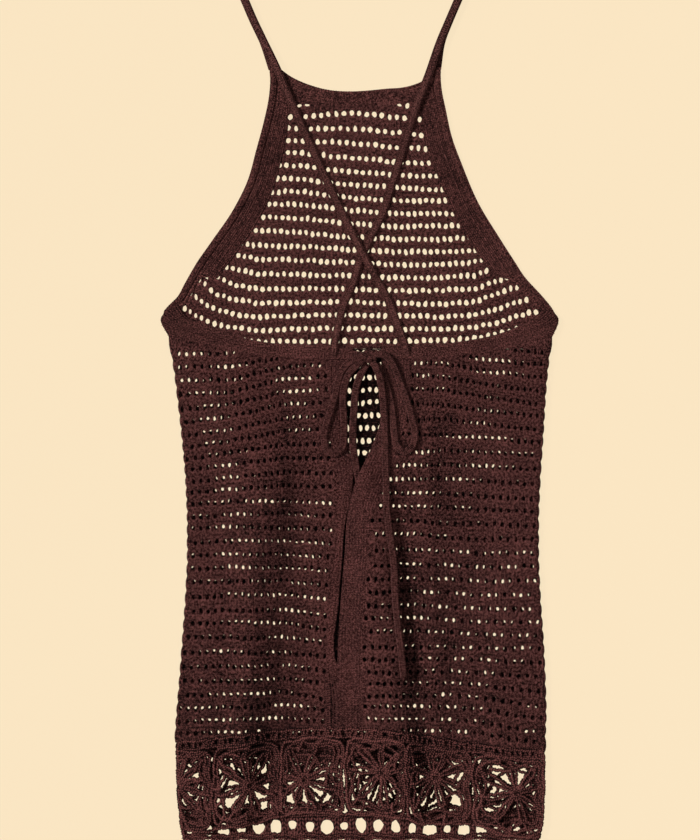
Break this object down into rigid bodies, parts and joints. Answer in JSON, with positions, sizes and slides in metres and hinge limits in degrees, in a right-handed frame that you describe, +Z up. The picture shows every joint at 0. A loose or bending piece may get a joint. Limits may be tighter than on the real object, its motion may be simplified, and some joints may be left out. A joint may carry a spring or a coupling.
{
  "type": "crochet mini dress laid flat",
  "caption": "Openwork crochet-look mini dress with halter front, crossed straps, open back with a bow and a flower lace border, laid flat back upwards.",
  "frame": {"origin": "centre of the dress's bounding box on the surface it lies on", "axes": "+Y from the hem to the straps, +Z up, away from the surface, out of the open back; +X to the right as seen from above"},
  "size_m": [0.4126, 0.9317, 0.0184],
  "materials": {
    "front_knit": "openwork cotton knit, matt, dark chocolate brown, in the shade of the layer above",
    "back_knit": "openwork cotton knit, matt, dark chocolate brown",
    "band_knit": "dense fine cotton knit, matt, dark chocolate brown",
    "strap_knit": "narrow dense cotton knit strap, matt, dark chocolate brown",
    "cord_knit": "narrow pressed knit tube with lengthwise ribs, matt, dark chocolate brown",
    "lace_yarn": "crocheted cotton yarn, matt, dark chocolate brown"
  },
  "bodies": {
    "root": {"front_panel": "front_knit", "front_neck_band": "band_knit", "front_side_band_left": "band_knit", "front_side_band_right": "band_knit", "front_lace_edge": "lace_yarn", "front_lace_1": "lace_yarn", "front_lace_2": "lace_yarn", "front_lace_3": "lace_yarn", "front_lace_4": "lace_yarn", "front_lace_5": "lace_yarn", "back_panel_left": "back_knit", "back_panel_right": "back_knit", "back_top_band_left": "band_knit", "back_top_band_right": "band_knit", "placket_left": "band_knit", "placket_right": "band_knit", "back_lace_edge": "lace_yarn", "back_lace_1": "lace_yarn", "back_lace_2": "lace_yarn", "back_lace_3": "lace_yarn", "back_lace_4": "lace_yarn", "back_lace_5": "lace_yarn", "strap_left": "strap_knit", "strap_right": "strap_knit", "tie_left": "cord_knit", "tie_right": "cord_knit", "tie_knot": "cord_knit", "bow_loop_left": "cord_knit", "bow_loop_right": "cord_knit", "tie_tail_left": "cord_knit", "tie_tail_right": "cord_knit"}
  },
  "joints": []
}
